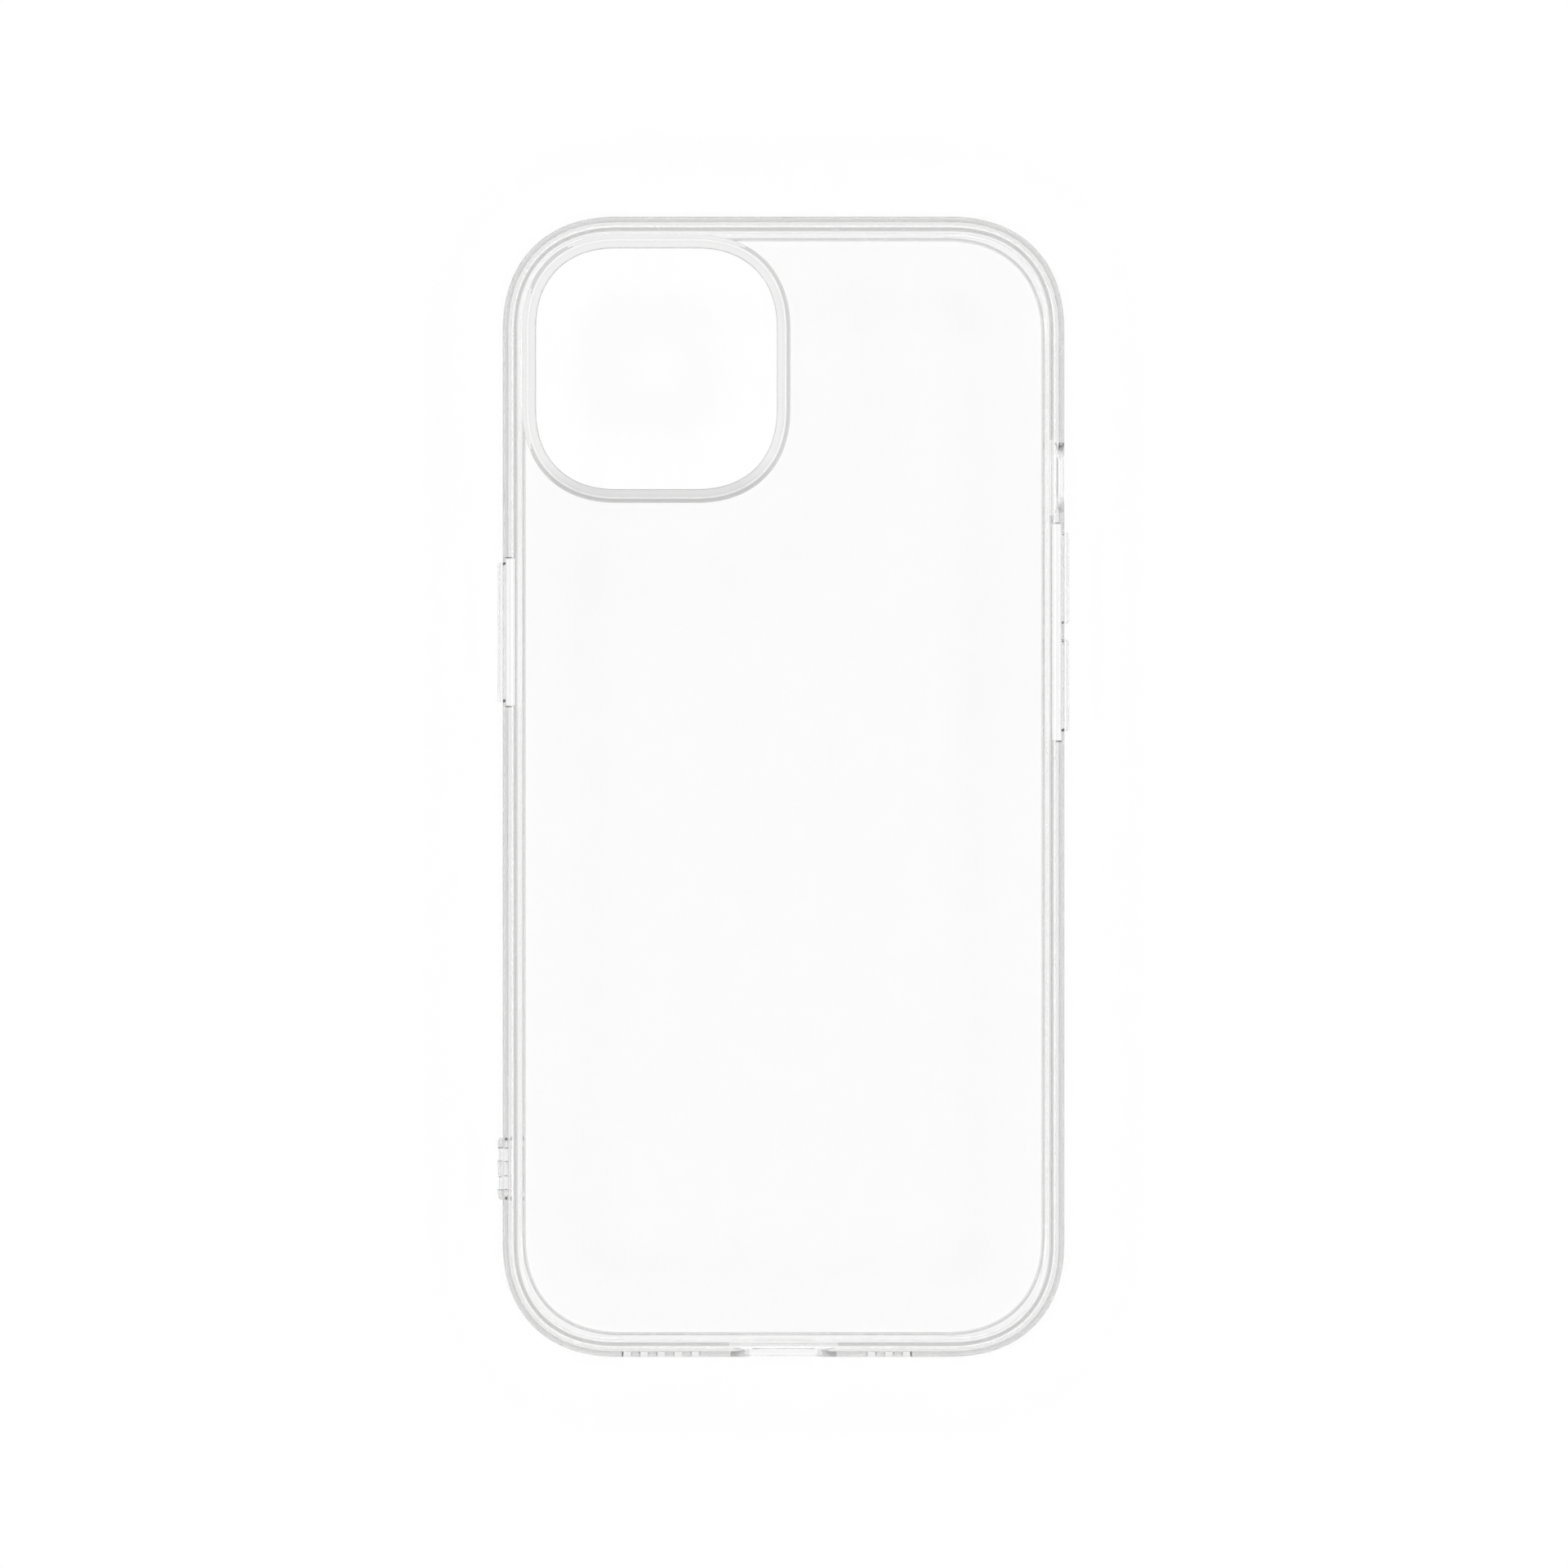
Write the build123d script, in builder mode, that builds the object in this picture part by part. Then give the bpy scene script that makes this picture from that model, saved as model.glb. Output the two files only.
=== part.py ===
"""A clear two-material case for a 6.1-inch phone: a hard back plate held in a soft bumper frame.

The case lies open side down. X runs across it, Y along it towards the camera opening, and Z
from the front lip, which it rests on, to the back. Units are millimetres.
"""

from build123d import *
import os

# The phone that the case is made for
PHONE_WIDTH = 71.6
PHONE_LENGTH = 147.6
PHONE_THICKNESS = 7.8

# Bumper frame
WALL = 1.1  # thickness of the side walls
LIP_HEIGHT = 1.0  # front lip, in front of the screen
LIP_OVERHANG = 1.25  # how far the lip covers the screen's edge
OUTER_CORNER = 15.8  # where a corner starts to bend, from the sharp corner
CORNER_STEP = 1.157  # change of that distance per millimetre of inset
BACK_ROUND = 2.3  # outer edge round at the back
FRONT_ROUND = 0.7  # outer edge round at the front
CAVITY_ROUND = 0.85  # inside round between wall and back
LIP_ROUND = 0.5  # the lip's inner edge

# Back plate
PLATE_THICKNESS = 1.4
PLATE_WIDTH = 68.14
PLATE_LENGTH = 143.6
PLATE_CORNER = 13.4
PLATE_CHAMFER = 0.15
TONGUE_THICKNESS = 0.7  # inner half of the plate, which runs on under the frame
TONGUE_INSET = 2.0  # the tongue's edge, from the outside of the case

# Camera ring
CAMERA_X = -16.68
CAMERA_Y = 54.85
CAMERA_OPENING = 31.6
CAMERA_OPENING_CORNER = 11.07
RING_WIDTH = 1.8
RING_CORNER = 13.1
RING_HEIGHT = 2.0  # above the back plate
RING_OUTER_ROUND = 1.2
RING_INNER_ROUND = 0.25

# Buttons: places along Y, sizes along Y and Z
POWER_Y = 20.3
VOLUME_UP_Y = 27.4
VOLUME_DOWN_Y = 13.3
POWER_LENGTH = 18.4
VOLUME_LENGTH = 12.1
PAD_HEIGHT = 3.4
PAD_PROUD = 0.65  # how far a pad stands out of the wall
PAD_DEPTH = 0.7  # how far it reaches into the wall
PAD_ROUND = 0.45
PAD_CORNER = 0.8
WEB_THICKNESS = 0.6  # the thin wall that bends round a pad
WINDOW_HEIGHT = 6.4
WINDOW_CORNER = 2.0
POWER_WINDOW_LENGTH = 19.7
VOLUME_WINDOW_LENGTH = 28.8
PAD_CLEARANCE = 0.05

# Openings in the walls
SWITCH_Y = 40.6
SWITCH_LENGTH = 8.6
SWITCH_HEIGHT = 7.0
SWITCH_CORNER = 2.2
PORT_LENGTH = 13.4
PORT_HEIGHT = 7.6
FLARE = 0.25  # slight bevel round the port and the switch opening, all through the wall
FLARE_ANGLE = 12.8  # its slope from the opening's own direction
SOUND_HOLE_WIDTH = 1.4
SOUND_HOLE_HEIGHT = 1.9
SOUND_HOLE_CORNER = 0.45
SPEAKER_X, SPEAKER_COUNT, SPEAKER_PITCH = -16.07, 5, 2.24
MICROPHONE_X, MICROPHONE_COUNT, MICROPHONE_PITCH = 13.87, 3, 2.3

# Lanyard boss
BOSS_Y = -50.2
BOSS_LENGTH = 8.1
BOSS_HEIGHT = 5.4
BOSS_CORNER = 0.8
BOSS_PROUD = 0.65
BOSS_ROUND = 0.45
LANYARD_WINDOW_LENGTH = 5.6
LANYARD_WINDOW_HEIGHT = 2.8
LANYARD_WINDOW_CORNER = 0.3
BAR_WIDTH = 2.0
BAR_THICKNESS = 0.8
BAR_ROUND = 0.2

# Worked out from the above
CASE_WIDTH = PHONE_WIDTH + 2 * WALL
CASE_LENGTH = PHONE_LENGTH + 2 * WALL
BACK_INSIDE = LIP_HEIGHT + PHONE_THICKNESS
BACK_OUTSIDE = BACK_INSIDE + PLATE_THICKNESS
PHONE_MIDDLE = LIP_HEIGHT + PHONE_THICKNESS / 2
CUT_DEPTH = 3 * WALL  # deep enough to pass a wall and stay in the cavity
OVERSHOOT = 0.5  # a cut starts this far outside

left_wall = Plane((-CASE_WIDTH / 2, 0, PHONE_MIDDLE), x_dir=(0, 1, 0), z_dir=(-1, 0, 0))
right_wall = Plane((CASE_WIDTH / 2, 0, PHONE_MIDDLE), x_dir=(0, 1, 0), z_dir=(1, 0, 0))
bottom_wall = Plane((0, -CASE_LENGTH / 2, PHONE_MIDDLE), x_dir=(1, 0, 0), z_dir=(0, -1, 0))


def outline(width, length, corner):
    """A filled rectangle whose corners bend gradually, starting at corner from the sharp one."""
    x, y = width / 2, length / 2
    near, far = 0.33 * corner, 0.76 * corner
    with BuildSketch() as shape:
        with BuildLine():
            Line((x, 0), (x, y - corner))
            Bezier(
                (x, y - corner), (x, y - far), (x, y - near),
                (x - near, y), (x - far, y), (x - corner, y),
            )
            Line((x - corner, y), (0, y))
            mirror(about=Plane.YZ)
            mirror(about=Plane.XZ)
        make_face()
    return shape.sketch


def inset_outline(inset):
    """The case's outer outline moved inwards by inset."""
    return outline(
        CASE_WIDTH - 2 * inset, CASE_LENGTH - 2 * inset, OUTER_CORNER - CORNER_STEP * inset
    )


def ring_outline():
    """The camera ring's outer edge, where it stands."""
    size = CAMERA_OPENING + 2 * RING_WIDTH
    return outline(size, size, RING_CORNER).moved(Location((CAMERA_X, CAMERA_Y, 0)))


def save(block, name):
    """Writes one sub-part."""
    block.part.label = name
    export_step(block.part, f"parts/{name}.step")


os.makedirs("parts", exist_ok=True)

# The space that the phone fills, taken out of the frame
with BuildPart() as cavity:
    with BuildSketch(Plane.XY.offset(LIP_HEIGHT)):
        add(inset_outline(WALL))
    extrude(amount=PHONE_THICKNESS)
    fillet(cavity.faces().sort_by(Axis.Z)[-1].edges(), CAVITY_ROUND)

# Hard clear back plate, with a tongue round its inner half
with BuildPart() as back_plate:
    with BuildSketch(Plane.XY.offset(BACK_INSIDE)):
        add(inset_outline(TONGUE_INSET))
    extrude(amount=TONGUE_THICKNESS)
    with BuildSketch(Plane.XY.offset(BACK_INSIDE + TONGUE_THICKNESS)):
        add(outline(PLATE_WIDTH, PLATE_LENGTH, PLATE_CORNER))
    extrude(amount=PLATE_THICKNESS - TONGUE_THICKNESS)
    chamfer(back_plate.faces().sort_by(Axis.Z)[-1].edges(), PLATE_CHAMFER)
    with BuildSketch(Plane.XY.offset(BACK_INSIDE)):
        add(ring_outline())
    extrude(amount=PLATE_THICKNESS, mode=Mode.SUBTRACT)
save(back_plate, "back_plate")

# Raised soft ring round the camera opening
with BuildPart() as camera_ring:
    with BuildSketch(Plane.XY.offset(BACK_INSIDE)):
        add(ring_outline())
        with Locations((CAMERA_X, CAMERA_Y)):
            add(outline(CAMERA_OPENING, CAMERA_OPENING, CAMERA_OPENING_CORNER), mode=Mode.SUBTRACT)
    extrude(amount=PLATE_THICKNESS + RING_HEIGHT)
    ring_top = camera_ring.faces().sort_by(Axis.Z)[-1]
    fillet(ring_top.outer_wire().edges(), RING_OUTER_ROUND)
    ring_top = camera_ring.faces().sort_by(Axis.Z)[-1]
    fillet(ring_top.inner_wires()[0].edges(), RING_INNER_ROUND)
save(camera_ring, "camera_ring")

# Soft frame: walls, front lip and the border that holds the plate
with BuildPart() as bumper_frame:
    with BuildSketch():
        add(inset_outline(0))
    extrude(amount=BACK_OUTSIDE)
    fillet(bumper_frame.faces().sort_by(Axis.Z)[-1].edges(), BACK_ROUND)
    fillet(bumper_frame.faces().sort_by(Axis.Z)[0].edges(), FRONT_ROUND)

    # lanyard boss on the left wall
    with BuildSketch(left_wall.offset(-WALL / 2)):
        with Locations((BOSS_Y, 0)):
            RectangleRounded(BOSS_LENGTH, BOSS_HEIGHT, BOSS_CORNER)
    extrude(amount=WALL / 2 + BOSS_PROUD)
    fillet(bumper_frame.faces().sort_by(Axis.X)[0].edges(), BOSS_ROUND)

    # inside: the phone's space, the screen opening and the plate's seat
    add(cavity.part, mode=Mode.SUBTRACT)
    with BuildSketch():
        add(inset_outline(WALL + LIP_OVERHANG))
    extrude(amount=LIP_HEIGHT, mode=Mode.SUBTRACT)
    lip_edge = bumper_frame.faces().sort_by(Axis.Z)[0].inner_wires()[0].edges()
    fillet(lip_edge, LIP_ROUND)
    with BuildSketch(Plane.XY.offset(BACK_INSIDE)):
        add(inset_outline(TONGUE_INSET))
    extrude(amount=TONGUE_THICKNESS, mode=Mode.SUBTRACT)
    with BuildSketch(Plane.XY.offset(BACK_INSIDE + TONGUE_THICKNESS)):
        add(outline(PLATE_WIDTH, PLATE_LENGTH, PLATE_CORNER))
        add(ring_outline())
    extrude(amount=PLATE_THICKNESS, mode=Mode.SUBTRACT)

    # windows for the buttons
    with BuildSketch(left_wall.offset(OVERSHOOT)):
        with Locations((POWER_Y, 0)):
            RectangleRounded(POWER_WINDOW_LENGTH, WINDOW_HEIGHT, WINDOW_CORNER)
    extrude(amount=-CUT_DEPTH, mode=Mode.SUBTRACT)
    with BuildSketch(right_wall.offset(OVERSHOOT)):
        with Locations((POWER_Y, 0)):
            RectangleRounded(VOLUME_WINDOW_LENGTH, WINDOW_HEIGHT, WINDOW_CORNER)
    extrude(amount=-CUT_DEPTH, mode=Mode.SUBTRACT)

    # ring and silent switch opening, with a slight bevel
    with BuildSketch(right_wall.offset(OVERSHOOT)):
        with Locations((SWITCH_Y, 0)):
            RectangleRounded(SWITCH_LENGTH, SWITCH_HEIGHT, SWITCH_CORNER)
    extrude(amount=-CUT_DEPTH, mode=Mode.SUBTRACT)
    with BuildSketch(right_wall):
        with Locations((SWITCH_Y, 0)):
            RectangleRounded(
                SWITCH_LENGTH + 2 * FLARE, SWITCH_HEIGHT + 2 * FLARE, SWITCH_CORNER + FLARE
            )
    extrude(amount=-WALL, taper=FLARE_ANGLE, mode=Mode.SUBTRACT)

    # charging port opening, with a slight bevel
    with BuildSketch(bottom_wall.offset(OVERSHOOT)):
        SlotOverall(PORT_LENGTH, PORT_HEIGHT)
    extrude(amount=-CUT_DEPTH, mode=Mode.SUBTRACT)
    with BuildSketch(bottom_wall):
        SlotOverall(PORT_LENGTH + 2 * FLARE, PORT_HEIGHT + 2 * FLARE)
    extrude(amount=-WALL, taper=FLARE_ANGLE, mode=Mode.SUBTRACT)

    # sound holes beside the port
    with BuildSketch(bottom_wall.offset(OVERSHOOT)):
        for middle, count, pitch in (
            (SPEAKER_X, SPEAKER_COUNT, SPEAKER_PITCH),
            (MICROPHONE_X, MICROPHONE_COUNT, MICROPHONE_PITCH),
        ):
            with Locations((middle, 0)):
                with GridLocations(pitch, 0, count, 1):
                    RectangleRounded(SOUND_HOLE_WIDTH, SOUND_HOLE_HEIGHT, SOUND_HOLE_CORNER)
    extrude(amount=-CUT_DEPTH, mode=Mode.SUBTRACT)

    # lanyard window through the boss
    with BuildSketch(left_wall.offset(BOSS_PROUD + OVERSHOOT)):
        with Locations((BOSS_Y, 0)):
            RectangleRounded(LANYARD_WINDOW_LENGTH, LANYARD_WINDOW_HEIGHT, LANYARD_WINDOW_CORNER)
    extrude(amount=-CUT_DEPTH - BOSS_PROUD, mode=Mode.SUBTRACT)
save(bumper_frame, "bumper_frame")

# Bar across the lanyard window, which a cord is looped round
with BuildPart() as lanyard_bar:
    with BuildSketch(left_wall.offset(BOSS_PROUD)):
        with Locations((BOSS_Y, 0)):
            Rectangle(BAR_WIDTH, LANYARD_WINDOW_HEIGHT)
    extrude(amount=-BAR_THICKNESS)
    fillet(lanyard_bar.edges().filter_by(Axis.Z), BAR_ROUND)
save(lanyard_bar, "lanyard_bar")


def web(wall, middle, length, pads):
    """The thin wall that fills a button window, with a hole for each pad of (place, length)."""
    with BuildPart() as block:
        with BuildSketch(wall):
            with Locations((middle, 0)):
                RectangleRounded(length, WINDOW_HEIGHT, WINDOW_CORNER)
            for place, pad_length in pads:
                with Locations((place, 0)):
                    RectangleRounded(
                        pad_length + 2 * PAD_CLEARANCE,
                        PAD_HEIGHT + 2 * PAD_CLEARANCE,
                        PAD_CORNER + PAD_CLEARANCE,
                        mode=Mode.SUBTRACT,
                    )
        extrude(amount=-WEB_THICKNESS)
    return block


def pad(wall, place, length):
    """A button pad, with its outer edge rounded."""
    with BuildPart() as block:
        with BuildSketch(wall.offset(-PAD_DEPTH)):
            with Locations((place, 0)):
                RectangleRounded(length, PAD_HEIGHT, PAD_CORNER)
        extrude(amount=PAD_DEPTH + PAD_PROUD)
        outer_face = block.faces().filter_by(GeomType.PLANE).sort_by(Axis(wall.origin, wall.z_dir))[-1]
        fillet(outer_face.edges(), PAD_ROUND)
    return block


save(web(left_wall, POWER_Y, POWER_WINDOW_LENGTH, [(POWER_Y, POWER_LENGTH)]), "power_button_web")
save(
    web(
        right_wall,
        POWER_Y,
        VOLUME_WINDOW_LENGTH,
        [(VOLUME_UP_Y, VOLUME_LENGTH), (VOLUME_DOWN_Y, VOLUME_LENGTH)],
    ),
    "volume_button_web",
)
save(pad(left_wall, POWER_Y, POWER_LENGTH), "power_button_pad")
save(pad(right_wall, VOLUME_UP_Y, VOLUME_LENGTH), "volume_up_button_pad")
save(pad(right_wall, VOLUME_DOWN_Y, VOLUME_LENGTH), "volume_down_button_pad")
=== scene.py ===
"""A clear phone case lying on its open side: soft moulding, hard plate, camera ring and button pads."""

import math

import bmesh
import bpy
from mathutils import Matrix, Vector


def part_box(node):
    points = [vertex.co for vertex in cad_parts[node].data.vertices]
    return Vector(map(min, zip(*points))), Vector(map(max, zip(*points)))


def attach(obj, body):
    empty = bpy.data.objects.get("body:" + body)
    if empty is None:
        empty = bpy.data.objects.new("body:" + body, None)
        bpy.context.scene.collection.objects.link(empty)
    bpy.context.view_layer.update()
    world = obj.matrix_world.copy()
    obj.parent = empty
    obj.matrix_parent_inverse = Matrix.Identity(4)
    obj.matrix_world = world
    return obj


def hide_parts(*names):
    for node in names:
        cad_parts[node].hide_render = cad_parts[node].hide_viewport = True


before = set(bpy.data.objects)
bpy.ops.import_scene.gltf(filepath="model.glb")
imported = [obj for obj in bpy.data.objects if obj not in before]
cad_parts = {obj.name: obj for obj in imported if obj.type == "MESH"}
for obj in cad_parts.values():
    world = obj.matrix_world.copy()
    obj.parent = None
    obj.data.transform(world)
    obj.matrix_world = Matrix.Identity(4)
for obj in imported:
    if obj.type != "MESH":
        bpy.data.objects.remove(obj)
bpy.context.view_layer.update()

MM = 0.001
HIDDEN_GAP = 0.015  # mm between clear pieces that touch, so that no two faces lie in one place
SHARP_ANGLE = 28  # degrees between faces, above which an edge is a crease
FLAT_FACE_WEIGHT = 100  # how strongly large faces pull the normals beside them

# Segments: in a quarter round, in an outline's corner and in its straight sides
ARC_STEPS = 10
COARSE_STEPS = 5
SMALL_STEPS = 6
CEILING_STEPS = 16
BACK_STEPS = 40
FRONT_STEPS = 20
WALL_CORNER_STEPS = 8
CORNER_STEPS = 36
END_STEPS = 24
SIDE_STEPS = 60

# Sizes in millimetres that the nodes' boxes don't give
WALL = 1.1
LIP_HEIGHT = 1.0
LIP_INSET = 2.35
OUTER_CORNER = 15.8  # where a corner starts to bend, from the sharp corner
CORNER_STEP = 1.157  # change of that distance per millimetre of inset
CORNER_SHARES = (1, 0.76, 0.33, 0, 0, 0)  # a corner's control points along one side
BACK_ROUND = 2.33
BACK_ROUND_HEIGHT = 2.17
FRONT_ROUND = 0.69
CEILING_ROUND = 0.83  # inside, between wall and back
LIP_ROUND = 0.53
LIP_TOP_ROUND = 0.2
FLOOR_ROUND = 0.29  # inside, between wall and lip
PLATE_CORNER = 13.4
PLATE_SIZE = (68.14, 143.6)
TONGUE_THICKNESS = 0.7
TONGUE_INSET = 2.0
EDGE_ROUND = 0.22  # each side of the groove round the plate
RING_CORNER = 13.1
CAMERA_CORNER = 11.07
RING_WALL = 1.8
RING_OUTER_ROUND = 1.2
RING_INNER_ROUND = 0.25

# Extra loops this far past a round keep the shading of the flat stretch flat
BACK_SUPPORT = 0.05
SIDE_SUPPORT = 0.15
CEILING_SUPPORT = 0.2
FLOOR_SUPPORT = 0.21
RING_SUPPORT = 0.1
PAD_SUPPORT = 0.05


def millimetres(node):
    """A CAD node's lowest and highest corners in millimetres."""
    low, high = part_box(node)
    return low / MM, high / MM


FRAME_LOW, FRAME_HIGH = millimetres("bumper_frame")
RING_LOW, RING_HIGH = millimetres("camera_ring")
BAR_LOW, BAR_HIGH = millimetres("lanyard_bar")
POWER_LOW, POWER_HIGH = millimetres("power_button_pad")
HALF_LENGTH = FRAME_HIGH.y
HALF_WIDTH = FRAME_HIGH.x
BACK = FRAME_HIGH.z
PLATE_UNDER = millimetres("back_plate")[0].z
STEP_HEIGHT = PLATE_UNDER + TONGUE_THICKNESS
RING_CENTRE = (RING_LOW + RING_HIGH) / 2
RING_SIZE = RING_HIGH.x - RING_LOW.x
RING_TOP = RING_HIGH.z
SIDE_CENTRE = (POWER_LOW.z + POWER_HIGH.z) / 2


# ---------------------------------------------------------------- points and solids
def between(start, end, steps):
    """Points that divide a straight stretch evenly, without its ends."""
    shares = [k / steps for k in range(1, steps)]
    return [
        (start[0] + (end[0] - start[0]) * share, start[1] + (end[1] - start[1]) * share)
        for share in shares
    ]


def outline(width, length, corner, centre=(0, 0)):
    """Points round a rectangle whose corners bend gradually, anticlockwise from above."""
    levels = [corner * share for share in CORNER_SHARES]
    degree = len(levels) - 1
    quarter = []
    for step in range(CORNER_STEPS + 1):
        t = step / CORNER_STEPS
        weights = [math.comb(degree, k) * t**k * (1 - t) ** (degree - k) for k in range(degree + 1)]
        across = sum(w * v for w, v in zip(weights, reversed(levels)))
        along = sum(w * v for w, v in zip(weights, levels))
        quarter.append((width / 2 - across, length / 2 - along))
    mirrored = [(-x, y) for x, y in reversed(quarter)]
    top = quarter + between(quarter[-1], mirrored[0], END_STEPS) + mirrored
    side = between(mirrored[-1], (mirrored[-1][0], -mirrored[-1][1]), SIDE_STEPS)
    half = top + side
    points = half + [(-x, -y) for x, y in half]
    return [(x + centre[0], y + centre[1]) for x, y in points]


def inset_outline(inset):
    """The case's outer outline moved inwards."""
    return outline(
        2 * (HALF_WIDTH - inset), 2 * (HALF_LENGTH - inset), OUTER_CORNER - CORNER_STEP * inset
    )


def plate_outline(growth):
    """The edge of the plate's outer half, moved outwards."""
    return outline(PLATE_SIZE[0] + 2 * growth, PLATE_SIZE[1] + 2 * growth, PLATE_CORNER + growth)


def ring_outline(growth):
    """The camera ring's outer edge, moved outwards."""
    size = RING_SIZE + 2 * growth
    return outline(size, size, RING_CORNER + CORNER_STEP * growth, (RING_CENTRE.x, RING_CENTRE.y))


def opening_outline(growth):
    """The camera opening's edge, moved outwards."""
    size = RING_SIZE - 2 * RING_WALL + 2 * growth
    return outline(size, size, CAMERA_CORNER + growth, (RING_CENTRE.x, RING_CENTRE.y))


def quarter_turn(steps=ARC_STEPS):
    """Angles from 0 to 90 degrees, in radians."""
    return [math.radians(90 * k / steps) for k in range(steps + 1)]


def arc(centre, radius, start, end, steps=ARC_STEPS):
    """Points of a circle's arc, angles in degrees."""
    angles = [math.radians(start + (end - start) * k / steps) for k in range(steps + 1)]
    return [(centre[0] + radius * math.cos(a), centre[1] + radius * math.sin(a)) for a in angles]


def at_height(points, z):
    """Plane points as space points at one height."""
    return [(x, y, z) for x, y in points]


def mesh_object(name, loops, closed):
    """An object through loops of points, closed like a tube ring or capped at both ends. Millimetres in."""
    count = len(loops[0])
    vertices = [Vector(point) * MM for loop in loops for point in loop]
    faces = []
    rows = len(loops)
    for row in range(rows if closed else rows - 1):
        here, there = row * count, (row + 1) % rows * count
        for k in range(count):
            after = (k + 1) % count
            faces.append((here + k, here + after, there + after, there + k))
    if not closed:
        faces.append(tuple(reversed(range(count))))
        faces.append(tuple(range((rows - 1) * count, rows * count)))
    mesh = bpy.data.meshes.new(name)
    mesh.from_pydata(vertices, [], faces)
    mesh.update()
    piece = bpy.data.objects.new(name, mesh)
    bpy.context.scene.collection.objects.link(piece)
    return piece


def outwards(piece):
    """Turns a closed mesh's faces outwards."""
    work = bmesh.new()
    work.from_mesh(piece.data)
    bmesh.ops.recalc_face_normals(work, faces=work.faces)
    work.to_mesh(piece.data)
    work.free()
    return piece


def combine(piece, tools, operation):
    """Cuts tools from a piece, or joins them to it, and deletes them."""
    for tool in tools:
        outwards(tool)
        change = piece.modifiers.new(operation, "BOOLEAN")
        change.operation = operation
        change.solver = "EXACT"
        change.object = tool
    bpy.context.view_layer.update()
    seen = piece.evaluated_get(bpy.context.evaluated_depsgraph_get())
    mesh = bpy.data.meshes.new_from_object(seen)
    piece.modifiers.clear()
    piece.data = mesh
    for tool in tools:
        bpy.data.objects.remove(tool)


def finish_shading(piece):
    """Smooth faces with sharp creases, and normals that large flat faces keep flat."""
    for polygon in piece.data.polygons:
        polygon.use_smooth = True
    piece.data.set_sharp_from_angle(angle=math.radians(SHARP_ANGLE))
    weighted = piece.modifiers.new("flat_faces_stay_flat", "WEIGHTED_NORMAL")
    weighted.keep_sharp = True
    weighted.weight = FLAT_FACE_WEIGHT


# ---------------------------------------------------------------- features on the walls
SMALLEST_CORNER = 0.02


def node_span(node):
    """A side node's middle and length along Y, and its height."""
    low, high = millimetres(node)
    return (low.y + high.y) / 2, high.y - low.y, high.z - low.z


def wall_point(wall, along, height, depth):
    """A point on a wall: along it, above the side features' middle, and depth into it."""
    z = SIDE_CENTRE + height
    if wall == "left":
        return (-HALF_WIDTH + depth, along, z)
    if wall == "right":
        return (HALF_WIDTH - depth, along, z)
    return (along, -HALF_LENGTH + depth, z)


def rounded_rectangle(length, height, corner, centre):
    """Points round a rectangle with round corners."""
    points = []
    corners = (
        (length / 2 - corner, height / 2 - corner, 0),
        (corner - length / 2, height / 2 - corner, 90),
        (corner - length / 2, corner - height / 2, 180),
        (length / 2 - corner, corner - height / 2, 270),
    )
    for x, y, start in corners:
        points += arc((x + centre, y), corner, start, start + 90, WALL_CORNER_STEPS)
    return points


def wall_solid(name, wall, middle, length, height, corner, levels):
    """A solid across a wall; levels are its (depth, growth) pairs, growth being added all round."""
    loops = []
    for depth, growth in levels:
        ring = rounded_rectangle(
            length + 2 * growth, height + 2 * growth, max(corner + growth, SMALLEST_CORNER), middle
        )
        loops.append([wall_point(wall, x, y, depth) for x, y in ring])
    return mesh_object(name, loops, closed=False)


# ---------------------------------------------------------------- soft frame
def frame_loops():
    """Loops round the frame's cross-section, from the lip's underside inwards and up."""
    gap = HIDDEN_GAP
    inside = arc((LIP_INSET - LIP_ROUND, LIP_ROUND), LIP_ROUND, -90, 0, SMALL_STEPS)
    lip_top = (LIP_INSET - LIP_TOP_ROUND, LIP_HEIGHT - LIP_TOP_ROUND)
    inside += arc(lip_top, LIP_TOP_ROUND, 0, 90, COARSE_STEPS)
    wall_foot = (WALL + FLOOR_ROUND, LIP_HEIGHT + FLOOR_ROUND)
    inside += arc(wall_foot, FLOOR_ROUND, 270, 180, SMALL_STEPS)
    inside.append((WALL, LIP_HEIGHT + FLOOR_ROUND + FLOOR_SUPPORT))
    inside.append((WALL, PLATE_UNDER - CEILING_ROUND - CEILING_SUPPORT))
    wall_head = (WALL + CEILING_ROUND, PLATE_UNDER - CEILING_ROUND)
    inside += arc(wall_head, CEILING_ROUND, 180, 90, CEILING_STEPS)
    inside.append((TONGUE_INSET - gap, PLATE_UNDER))
    inside.append((TONGUE_INSET - gap, STEP_HEIGHT + gap))
    loops = [at_height(inset_outline(inset), z) for inset, z in inside]

    loops.append(at_height(plate_outline(gap), STEP_HEIGHT + gap))
    for growth, z in arc((EDGE_ROUND, BACK - EDGE_ROUND), EDGE_ROUND, 180, 90, COARSE_STEPS):
        loops.append(at_height(plate_outline(gap + growth), z))

    outside = [(BACK_ROUND + BACK_SUPPORT, BACK)]
    stretch = BACK_ROUND_HEIGHT / BACK_ROUND
    for inset, rise in arc((BACK_ROUND, 0), BACK_ROUND, 90, 180, BACK_STEPS):
        outside.append((inset, BACK - BACK_ROUND_HEIGHT + rise * stretch))
    outside.append((0, BACK - BACK_ROUND_HEIGHT - SIDE_SUPPORT))
    outside.append((0, FRONT_ROUND + SIDE_SUPPORT))
    outside += arc((FRONT_ROUND, FRONT_ROUND), FRONT_ROUND, 180, 270, FRONT_STEPS)
    loops += [at_height(inset_outline(inset), z) for inset, z in outside]
    return loops


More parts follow.
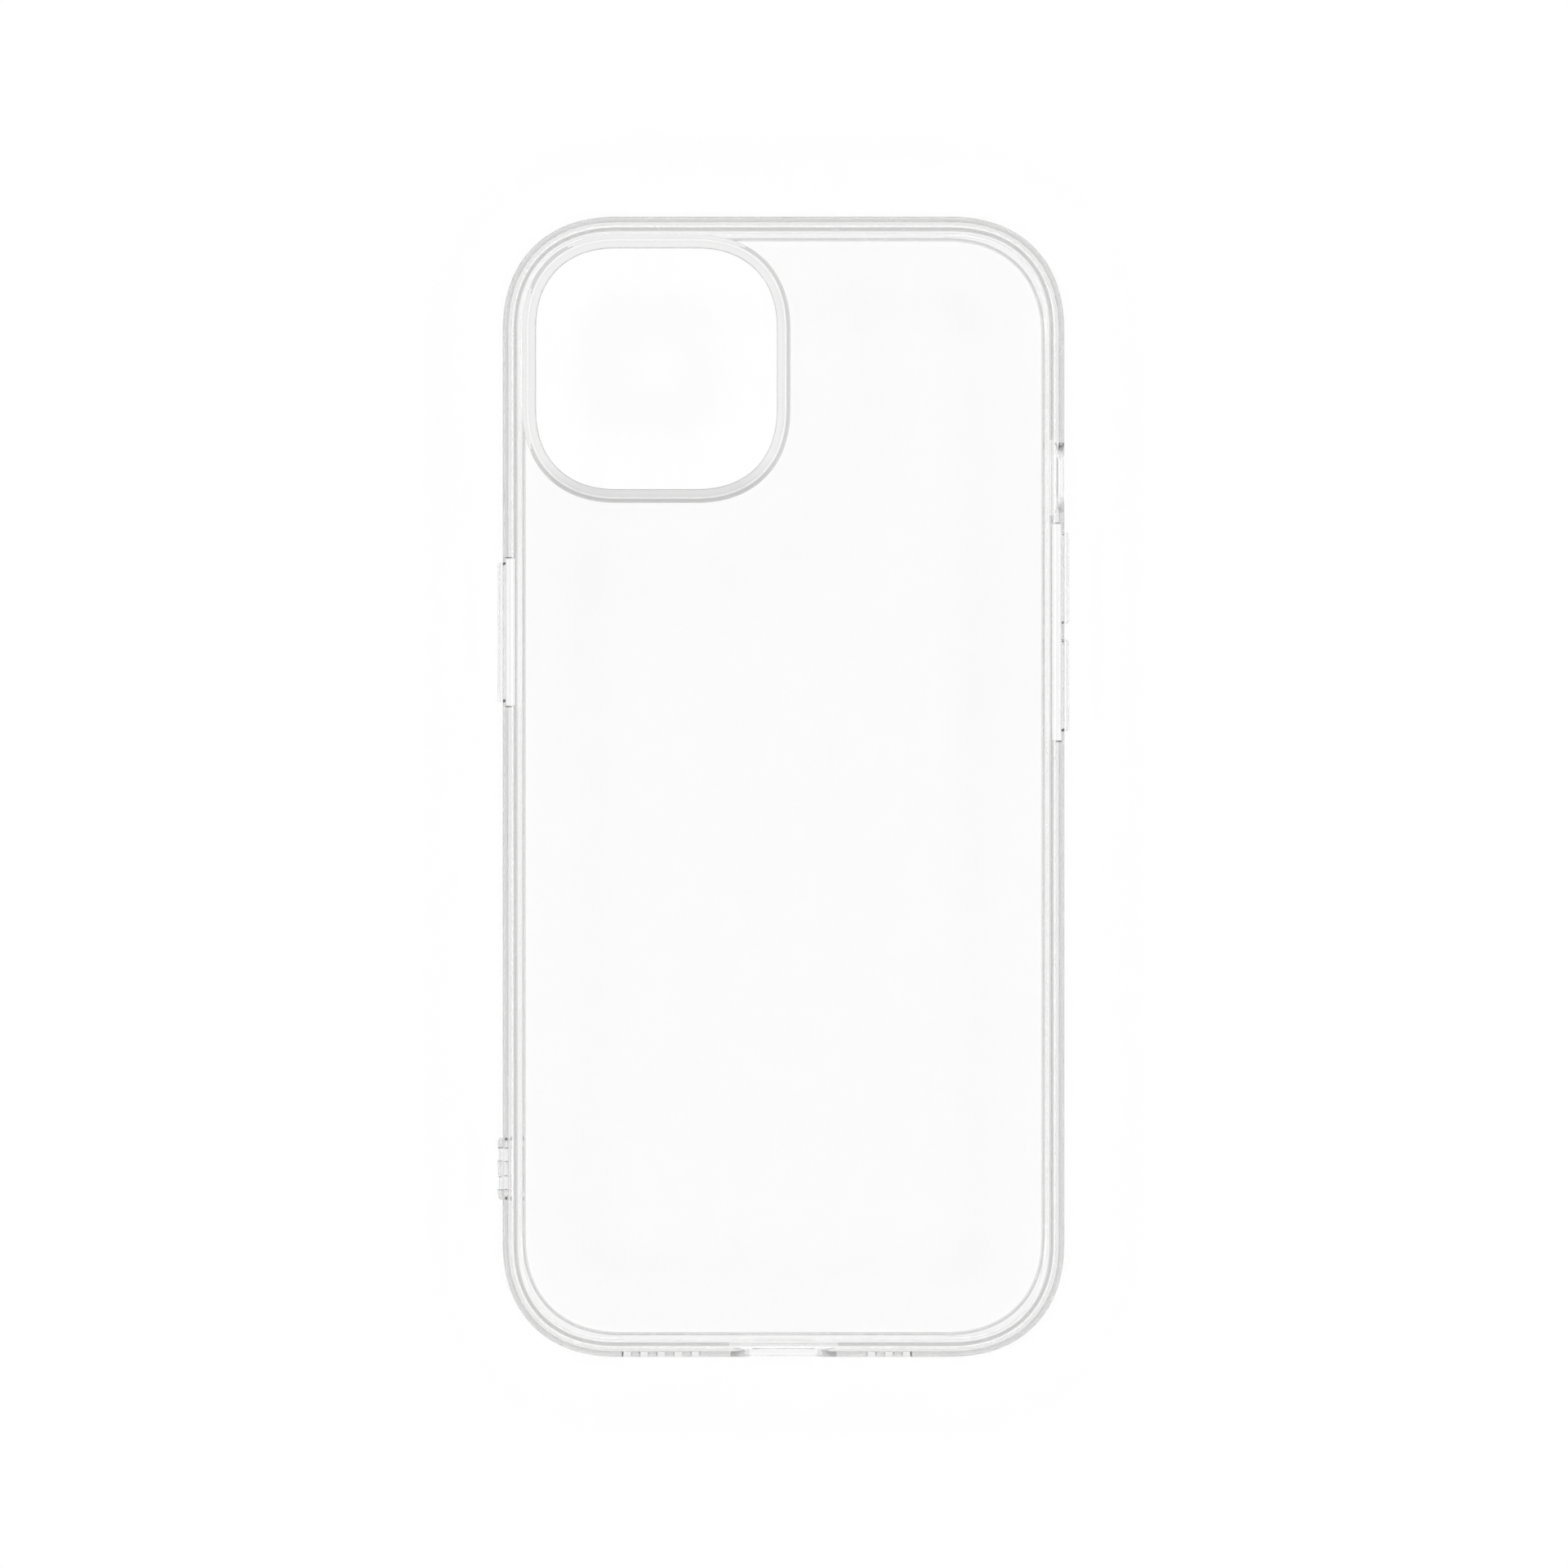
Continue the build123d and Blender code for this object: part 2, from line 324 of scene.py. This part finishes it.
# Lanyard boss
BOSS_LENGTH, BOSS_HEIGHT, BOSS_CORNER = 8.1, 5.4, 0.8
BOSS_PROUD = -FRAME_LOW.x - HALF_WIDTH
BOSS_ROUND = 0.45
BOSS_FOOT = 0.2  # hollow round where the boss leaves the wall
BOSS_ROOT = 0.3  # how deep the boss starts inside the wall
BOSS_Y = (BAR_LOW.y + BAR_HIGH.y) / 2
BAR_WIDTH = BAR_HIGH.y - BAR_LOW.y
BAR_BACK = BAR_HIGH.x - BAR_LOW.x - BOSS_PROUD  # depth of the bar's inner face
CHANNEL_LENGTH, CHANNEL_HEIGHT, CHANNEL_CORNER = 5.6, 2.8, 0.3
CHANNEL_EDGE = 0.1
CHANNEL_MOUTH = 0.15
CHANNEL_OVERSHOOT = 0.6
HOLE_CORNER = 0.15
HOLE_ROUND = 0.2
HOLE_START = 0.3  # outside the boss
HOLE_OVERLAP = 0.2  # into the channel


def lanyard_boss():
    levels = [(BOSS_ROOT, BOSS_FOOT)]
    for a in quarter_turn(COARSE_STEPS):
        levels.append((-BOSS_FOOT * (1 - math.cos(a)), BOSS_FOOT * (1 - math.sin(a))))
    for a in quarter_turn():
        levels.append(
            (-(BOSS_PROUD - BOSS_ROUND) - BOSS_ROUND * math.sin(a), -BOSS_ROUND * (1 - math.cos(a)))
        )
    return wall_solid("boss", "left", BOSS_Y, BOSS_LENGTH, BOSS_HEIGHT, BOSS_CORNER, levels)


def lanyard_cutters():
    """A channel from inside, then one hole on each side of the bar."""
    levels = [
        (BAR_BACK, -CHANNEL_EDGE),
        (BAR_BACK + CHANNEL_EDGE, 0),
        (WALL - CHANNEL_MOUTH, 0),
        (WALL, CHANNEL_MOUTH),
        (WALL + CHANNEL_OVERSHOOT, CHANNEL_MOUTH),
    ]
    cutters = [
        wall_solid("channel", "left", BOSS_Y, CHANNEL_LENGTH, CHANNEL_HEIGHT, CHANNEL_CORNER, levels)
    ]
    hole_length = (CHANNEL_LENGTH - BAR_WIDTH) / 2
    levels = [(-BOSS_PROUD - HOLE_START, HOLE_START)]
    for k in range(COARSE_STEPS + 1):
        depth = HOLE_ROUND * k / COARSE_STEPS
        narrowing = math.sqrt(max(HOLE_ROUND**2 - (HOLE_ROUND - depth) ** 2, 0))
        levels.append((-BOSS_PROUD + depth, HOLE_ROUND - narrowing))
    levels.append((BAR_BACK + HOLE_OVERLAP, 0))
    for side in (-1, 1):
        middle = BOSS_Y + side * (BAR_WIDTH + hole_length) / 2
        cutters.append(
            wall_solid(f"hole{side}", "left", middle, hole_length, CHANNEL_HEIGHT, HOLE_CORNER, levels)
        )
    return cutters


# Buttons: pockets from inside, then holes for the pads
WEB_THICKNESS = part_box("power_button_web")[1].x / MM + HALF_WIDTH
PAD_CLEARANCE = 0.05
PAD_CORNER = 0.8
PAD_HOLE_START = 0.2  # outside the wall
PAD_HOLE_OVERLAP = 0.3  # into the pocket
POCKET_HEIGHT = 7.76
POCKET_DEPTH = 1.78
POCKET_CORNER = 0.25
POCKET_ROUND = 0.15
BUTTONS = (
    ("left", "power_button_web", ["power_button_pad"]),
    ("right", "volume_button_web", ["volume_up_button_pad", "volume_down_button_pad"]),
)


def button_cutters():
    cutters = []
    pocket_levels = [
        (WEB_THICKNESS + depth, growth - POCKET_ROUND)
        for growth, depth in arc((0, POCKET_ROUND), POCKET_ROUND, -90, 0)
    ]
    pocket_levels.append((POCKET_DEPTH, 0))
    hole_levels = [(-PAD_HOLE_START, 0), (WEB_THICKNESS + PAD_HOLE_OVERLAP, 0)]
    for wall, web, pad_nodes in BUTTONS:
        middle, length, height = node_span(web)
        cutters.append(
            wall_solid(
                "pocket_" + web, wall, middle, length, POCKET_HEIGHT, POCKET_CORNER, pocket_levels
            )
        )
        for node in pad_nodes:
            middle, length, height = node_span(node)
            cutters.append(
                wall_solid(
                    "hole_" + node, wall, middle, length + 2 * PAD_CLEARANCE,
                    height + 2 * PAD_CLEARANCE, PAD_CORNER + PAD_CLEARANCE, hole_levels,
                )
            )
    return cutters


# Switch opening, charging port and sound holes
SWITCH_Y, SWITCH_LENGTH, SWITCH_HEIGHT, SWITCH_CORNER = 40.6, 8.6, 7.0, 2.2
SWITCH_STEPS = ((0.93, 0.1), (1.25, 0))  # depths of fine steps, and the bevel left there
SWITCH_END = 2.4
PORT_LENGTH, PORT_HEIGHT = 13.4, 7.6
PORT_CORNER = PORT_HEIGHT / 2 - 0.01  # just short of a half circle
PORT_STEPS = ((1.37, 0),)
PORT_END = 2.6
BEVEL = 0.35  # growth there
BEVEL_START = -0.4  # depth, just outside the wall
FINE_STEP = 0.1
SOUND_HOLE = (1.4, 1.9, 0.45)  # length, height and corner
SOUND_HOLE_LEVELS = ((-0.3, 0.24), (0.3, 0), (2.2, 0))  # depth and growth
SOUND_HOLE_ROWS = ((-16.07, 5, 2.24), (13.87, 3, 2.3))  # middle along X, count and pitch


def bevelled(end, steps):
    """Levels of a cutter that narrows from the bevel to nothing, with a fine step at each depth."""
    levels = [(BEVEL_START, BEVEL)]
    for depth, left in steps:
        levels += [(depth - FINE_STEP, left + FINE_STEP), (depth, left)]
    levels.append((end, 0))
    return levels


def opening_cutters():
    cutters = [
        wall_solid(
            "switch", "right", SWITCH_Y, SWITCH_LENGTH, SWITCH_HEIGHT, SWITCH_CORNER,
            bevelled(SWITCH_END, SWITCH_STEPS),
        ),
        wall_solid(
            "port", "bottom", 0, PORT_LENGTH, PORT_HEIGHT, PORT_CORNER, bevelled(PORT_END, PORT_STEPS)
        ),
    ]
    for middle, count, pitch in SOUND_HOLE_ROWS:
        for k in range(count):
            x = middle + (k - (count - 1) / 2) * pitch
            cutters.append(wall_solid(f"sound{x:.1f}", "bottom", x, *SOUND_HOLE, SOUND_HOLE_LEVELS))
    return cutters


RING_CUT_BELOW = 0.2
RING_CUT_ABOVE = 1.0


def ring_cutter(name):
    """A block in the camera ring's place."""
    heights = (PLATE_UNDER - RING_CUT_BELOW, BACK + RING_CUT_ABOVE)
    loops = [at_height(ring_outline(HIDDEN_GAP), z) for z in heights]
    return mesh_object(name, loops, closed=False)


bumper = outwards(mesh_object("soft_frame", frame_loops(), closed=True))
combine(bumper, [lanyard_boss()], "UNION")
frame_cutters = lanyard_cutters() + button_cutters() + opening_cutters() + [ring_cutter("ring_place")]
combine(bumper, frame_cutters, "DIFFERENCE")
finish_shading(bumper)
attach(bumper, "case")
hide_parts("bumper_frame", "power_button_web", "volume_button_web", "lanyard_bar")


# ---------------------------------------------------------------- back plate
def plate_loops():
    """Loops up the plate, from its tongue's underside to its outer face."""
    loops = [at_height(inset_outline(TONGUE_INSET), z) for z in (PLATE_UNDER, STEP_HEIGHT)]
    loops.append(at_height(plate_outline(0), STEP_HEIGHT))
    for growth, z in arc((-EDGE_ROUND, BACK - EDGE_ROUND), EDGE_ROUND, 0, 90, COARSE_STEPS):
        loops.append(at_height(plate_outline(growth), z))
    return loops


plate = outwards(mesh_object("hard_plate", plate_loops(), closed=False))
combine(plate, [ring_cutter("plate_hole")], "DIFFERENCE")
finish_shading(plate)
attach(plate, "case")
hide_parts("back_plate")


# ---------------------------------------------------------------- camera ring
def ring_loops():
    """Loops round the ring's cross-section, up outside and down inside."""
    outer_top = RING_TOP - RING_OUTER_ROUND
    inner_top = RING_TOP - RING_INNER_ROUND
    loops = [at_height(ring_outline(0), z) for z in (PLATE_UNDER, outer_top - RING_SUPPORT)]
    for growth, z in arc((-RING_OUTER_ROUND, outer_top), RING_OUTER_ROUND, 0, 90):
        loops.append(at_height(ring_outline(growth), z))
    for growth, z in arc((RING_INNER_ROUND, inner_top), RING_INNER_ROUND, 90, 180, SMALL_STEPS):
        loops.append(at_height(opening_outline(growth), z))
    loops += [at_height(opening_outline(0), z) for z in (inner_top - RING_SUPPORT, PLATE_UNDER)]
    return loops


ring = outwards(mesh_object("raised_camera_ring", ring_loops(), closed=True))
finish_shading(ring)
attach(ring, "case")
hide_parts("camera_ring")

# ---------------------------------------------------------------- button pads
PAD_ROUND = 0.45
PAD_INNER_EDGE = ((0, -0.1), (0.03, -0.03), (0.1, 0))  # distance from the inner face, and growth


def pad_piece(name, node, wall, body):
    """A button pad with a rounded outer edge."""
    low, high = millimetres(node)
    middle, length, height = node_span(node)
    if wall == "left":
        proud, depth = -low.x - HALF_WIDTH, high.x + HALF_WIDTH
    else:
        proud, depth = high.x - HALF_WIDTH, HALF_WIDTH - low.x
    round_start = -(proud - PAD_ROUND)
    levels = [(depth - distance, growth) for distance, growth in PAD_INNER_EDGE]
    levels.append((round_start + PAD_SUPPORT, 0))
    for a in quarter_turn():
        levels.append((round_start - PAD_ROUND * math.sin(a), -PAD_ROUND * (1 - math.cos(a))))
    pad = wall_solid(name, wall, middle, length, height, PAD_CORNER, levels)
    outwards(pad)
    finish_shading(pad)
    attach(pad, body)
    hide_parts(node)
    return pad


pads = [
    pad_piece("power_pad", "power_button_pad", "left", "power_button"),
    pad_piece("volume_up_pad", "volume_up_button_pad", "right", "volume_up_button"),
    pad_piece("volume_down_pad", "volume_down_button_pad", "right", "volume_down_button"),
]

# ---------------------------------------------------------------- painted shade and matt faces
# Painted shade, as base colour: how much light darkened faces let through; every other face lets through
# all
GROOVE_PAINTED_SHADE = 0.66
BAND_PAINTED_SHADE = 0.62  # painted shade in the inside corner between the walls and the back
RIM_PAINTED_SHADE = 0.74
RING_EDGE_PAINTED_SHADE = 0.58
RING_LOW_PAINTED_SHADE = 0.85  # painted shade on the ring's side towards the case's middle
END_FROST = 0.6  # roughness of the ends of the port and switch openings

# What a face's place in millimetres or its direction has to be
LEVEL = 0.01  # a normal this close to upright or level counts as such
BAND_HEIGHTS = (PLATE_UNDER - 0.065, PLATE_UNDER + 0.001)
POCKET_CEILING_TOLERANCE = 0.002
RIM_STEEPNESS = 0.45
RING_STEEPNESS = 0.85
RING_FADE_START, RING_FADE_LENGTH = 2, 4
PLATE_MARGIN = 1
PORT_MARGIN = 1
END_MARGIN = 0.5
END_DEPTH = WALL + 0.1
END_HEIGHT = PORT_HEIGHT / 2 - 0.02
END_ACROSS = 0.7  # an end faces less than this through its wall
END_ALONG = 0.2  # and more than this along it


def away_from(centre, polygon):
    """How far a face looks away from a middle point, in plan, from -1 to 1."""
    out = Vector((polygon.center.x / MM - centre[0], polygon.center.y / MM - centre[1]))
    return out.normalized().dot(polygon.normal.xy)


def in_groove(polygon):
    """Whether a face is on the small rounds of the groove round the plate."""
    return polygon.center.z / MM > BACK - EDGE_ROUND and LEVEL < polygon.normal.z < 1 - LEVEL


def plate_painted_shade(polygon):
    """Painted shade in the groove."""
    return GROOVE_PAINTED_SHADE if in_groove(polygon) else 1


def bumper_painted_shade(polygon):
    """Painted shade in the groove, on the steep outer rim and in the inside corner, but not at the
    openings.
    """
    x, y, z = polygon.center / MM
    look = away_from((0, 0), polygon)
    # Painted shade on the frame's half of the groove
    if in_groove(polygon) and look < 0:
        return GROOVE_PAINTED_SHADE
    # Painted shade on the steep outer rim
    if z > BACK - BACK_ROUND_HEIGHT and look > 0 and LEVEL < polygon.normal.z < RIM_STEEPNESS:
        return RIM_PAINTED_SHADE
    at_port = abs(x) < PORT_LENGTH / 2 and y < PORT_MARGIN - HALF_LENGTH + TONGUE_INSET
    at_switch = abs(y - SWITCH_Y) < SWITCH_LENGTH / 2 and x > 0
    in_pocket = abs(z - SIDE_CENTRE - POCKET_HEIGHT / 2) < POCKET_CEILING_TOLERANCE
    in_corner = BAND_HEIGHTS[0] < z < BAND_HEIGHTS[1] and polygon.normal.z < -LEVEL
    # Painted shade in the inside corner, left off at the openings and the pockets
    if in_corner and not (at_port or at_switch or in_pocket):
        return BAND_PAINTED_SHADE
    return 1


def bumper_frost(polygon):
    """Matt on the ends of the port and the switch opening."""
    x, y, z = polygon.center / MM
    at_port = abs(x) < PORT_LENGTH / 2 + END_MARGIN and y < END_DEPTH - HALF_LENGTH
    at_switch = abs(y - SWITCH_Y) < SWITCH_LENGTH / 2 + END_MARGIN and x > HALF_WIDTH - END_DEPTH
    through, along = abs(polygon.normal.x), abs(polygon.normal.y)
    port_end = at_port and along < END_ACROSS and through > END_ALONG
    switch_end = at_switch and through < END_ACROSS and along > END_ALONG
    return END_FROST if abs(z - SIDE_CENTRE) < END_HEIGHT and (port_end or switch_end) else 0


def ring_painted_shade(polygon):
    """Painted shade on the round beside the plate and on the opening's edge, and a little on the lower
    side.
    """
    x, y, z = polygon.center / MM
    outer = away_from(RING_CENTRE, polygon) > 0
    beside_plate = x > PLATE_MARGIN - PLATE_SIZE[0] / 2 and y < PLATE_SIZE[1] / 2 - PLATE_MARGIN
    # Painted shade on the ring's edge rounds
    edge = z > BACK and polygon.normal.z < RING_STEEPNESS and (beside_plate or not outer)
    # Painted shade darkest on the ring's lower side, fading out towards its upper side
    share = min(max((y - RING_LOW.y - RING_FADE_START) / RING_FADE_LENGTH, 0), 1)
    low = RING_LOW_PAINTED_SHADE + (1 - RING_LOW_PAINTED_SHADE) * share
    return low * (RING_EDGE_PAINTED_SHADE if edge else 1)


def store(piece, name, rule):
    """Stores one number on each face of a piece."""
    stored = piece.data.attributes.new(name, "FLOAT", "FACE")
    for polygon, value in zip(piece.data.polygons, stored.data):
        value.value = rule(polygon)


# Painted shade stored on the faces, read as base colour by the material
store(bumper, "painted_shade", bumper_painted_shade)
store(bumper, "frost", bumper_frost)
store(ring, "painted_shade", ring_painted_shade)
store(ring, "frost", lambda polygon: 0)
store(plate, "painted_shade", plate_painted_shade)

# ---------------------------------------------------------------- materials
ABSORBED = (0.02, 0.01, 0.0, 1)
HAZE_DETAIL = 3
WAVE_SCALE = 0.4  # against the haze's
WAVE_DETAIL = 1
WAVE_HEIGHT = 0.0001  # metres
SOFT = {"density": 36.0, "ior": 1.49, "roughness": (0.05, 0.09), "waviness": 0.004, "scale": 300}
HARD = {"density": 15.0, "ior": 1.5, "roughness": (0.0, 0.004), "waviness": 0.002, "scale": 150}
PAD = {**SOFT, "density": 8.0}


def stored_number(tree, name):
    """The output that reads a number stored on the faces."""
    reader = tree.nodes.new("ShaderNodeAttribute")
    reader.attribute_name = name
    return reader.outputs["Fac"]


def clear_plastic(name, density, ior, roughness, waviness, scale, stored=()):
    """Clear moulded plastic with a faint unevenness left by the mould; stored names its faces' numbers."""
    material = bpy.data.materials.new(name)
    material.use_nodes = True
    tree = material.node_tree
    nodes, links = tree.nodes, tree.links
    shader = nodes["Principled BSDF"]
    shader.inputs["Base Color"].default_value = (1, 1, 1, 1)
    # The faces' painted shade darkens the base colour
    if "painted_shade" in stored:
        links.new(stored_number(tree, "painted_shade"), shader.inputs["Base Color"])
    shader.inputs["Transmission Weight"].default_value = 1
    shader.inputs["IOR"].default_value = ior

    where = nodes.new("ShaderNodeTexCoord")
    haze = nodes.new("ShaderNodeTexNoise")
    haze.inputs["Scale"].default_value = scale
    haze.inputs["Detail"].default_value = HAZE_DETAIL
    links.new(where.outputs["Object"], haze.inputs["Vector"])
    spread = nodes.new("ShaderNodeMapRange")
    spread.inputs["To Min"].default_value = roughness[0]
    spread.inputs["To Max"].default_value = roughness[1]
    links.new(haze.outputs["Fac"], spread.inputs["Value"])
    rough = spread.outputs["Result"]
    if "frost" in stored:
        matt = nodes.new("ShaderNodeMath")
        matt.operation = "MAXIMUM"
        links.new(rough, matt.inputs[0])
        links.new(stored_number(tree, "frost"), matt.inputs[1])
        rough = matt.outputs["Value"]
    links.new(rough, shader.inputs["Roughness"])

    waves = nodes.new("ShaderNodeTexNoise")
    waves.inputs["Scale"].default_value = scale * WAVE_SCALE
    waves.inputs["Detail"].default_value = WAVE_DETAIL
    links.new(where.outputs["Object"], waves.inputs["Vector"])
    bump = nodes.new("ShaderNodeBump")
    bump.inputs["Strength"].default_value = waviness
    bump.inputs["Distance"].default_value = WAVE_HEIGHT
    links.new(waves.outputs["Fac"], bump.inputs["Height"])
    links.new(bump.outputs["Normal"], shader.inputs["Normal"])

    depth = nodes.new("ShaderNodeVolumeAbsorption")
    depth.inputs["Color"].default_value = ABSORBED
    depth.inputs["Density"].default_value = density
    links.new(depth.outputs["Volume"], nodes["Material Output"].inputs["Volume"])
    return material


def paint(material, *pieces):
    """Gives pieces a material."""
    for piece in pieces:
        piece.data.materials.clear()
        piece.data.materials.append(material)


paint(clear_plastic("clear_soft_plastic", **SOFT, stored=("painted_shade", "frost")), bumper, ring)
paint(clear_plastic("clear_hard_plastic", **HARD, stored=("painted_shade",)), plate)
paint(clear_plastic("clear_soft_plastic_pad", **PAD), *pads)

# ---------------------------------------------------------------- studio
FLOOR_SIZE = 3.0
FLOOR_DROP = 0.0002  # clear of the case's lip
FLOOR_SHADE = 0.15
FLOOR_GLOW = 0.855
FLOOR_ROUGHNESS = 0.9
SKY_STOPS = (  # sine of the angle above the horizon, and brightness there
    (0.0, 0.4), (0.2, 0.4), (0.27, 0.35), (0.54, 0.35), (0.58, 5.0), (0.67, 5.0), (0.7, 0.15),
    (0.97, 0.15), (0.985, 0.8), (1.0, 0.8),
)


def glowing_floor():
    """A white sheet that glows evenly, like a light table."""
    half = FLOOR_SIZE / 2
    corners = [(x * half, y * half, -FLOOR_DROP) for x, y in ((-1, -1), (1, -1), (1, 1), (-1, 1))]
    mesh = bpy.data.meshes.new("studio_floor")
    mesh.from_pydata(corners, [], [(0, 1, 2, 3)])
    floor = bpy.data.objects.new("studio_floor", mesh)
    bpy.context.scene.collection.objects.link(floor)
    paper = bpy.data.materials.new("white_paper")
    paper.use_nodes = True
    sockets = paper.node_tree.nodes["Principled BSDF"].inputs
    sockets["Base Color"].default_value = (FLOOR_SHADE,) * 3 + (1,)
    sockets["Roughness"].default_value = FLOOR_ROUGHNESS
    sockets["Specular IOR Level"].default_value = 0
    sockets["Emission Color"].default_value = (1, 1, 1, 1)
    sockets["Emission Strength"].default_value = FLOOR_GLOW
    floor.data.materials.append(paper)
    return floor


def studio_sky():
    """A world whose brightness depends on the height, with one bright band."""
    world = bpy.data.worlds.new("studio")
    world.use_nodes = True
    nodes, links = world.node_tree.nodes, world.node_tree.links
    where = nodes.new("ShaderNodeTexCoord")
    parts = nodes.new("ShaderNodeSeparateXYZ")
    links.new(where.outputs["Generated"], parts.inputs["Vector"])
    sky = nodes.new("ShaderNodeValToRGB")
    links.new(parts.outputs["Z"], sky.inputs["Fac"])
    while len(sky.color_ramp.elements) < len(SKY_STOPS):
        sky.color_ramp.elements.new(0.5)
    peak = max(level for height, level in SKY_STOPS)
    for stop, (height, level) in zip(sky.color_ramp.elements, SKY_STOPS):
        stop.position = height
        stop.color = (level / peak,) * 3 + (1,)
    links.new(sky.outputs["Color"], nodes["Background"].inputs["Color"])
    nodes["Background"].inputs["Strength"].default_value = peak
    world.cycles.sampling_method = "NONE"
    return world


floor = glowing_floor()
scene = bpy.context.scene
scene.world = studio_sky()

# ---------------------------------------------------------------- camera
VIEW_WIDTH = 0.20585  # metres across the picture, at the case's back
DISTANCE = 4.0
CENTRE_SHIFT = (0.06 * MM, 0.36 * MM)
SENSOR = 36
BOUNCES = 32  # light is reflected many times inside clear walls

camera_data = bpy.data.cameras.new("camera")
camera_data.sensor_width = SENSOR
camera_data.lens = SENSOR * DISTANCE / VIEW_WIDTH
camera = bpy.data.objects.new("camera", camera_data)
camera.location = (*CENTRE_SHIFT, BACK * MM + DISTANCE)
scene.collection.objects.link(camera)
scene.camera = camera
scene.view_settings.view_transform = "Standard"
scene.cycles.max_bounces = BOUNCES
scene.cycles.transmission_bounces = BOUNCES
scene.cycles.glossy_bounces = BOUNCES
scene.cycles.transparent_max_bounces = BOUNCES
scene.cycles.blur_glossy = 0
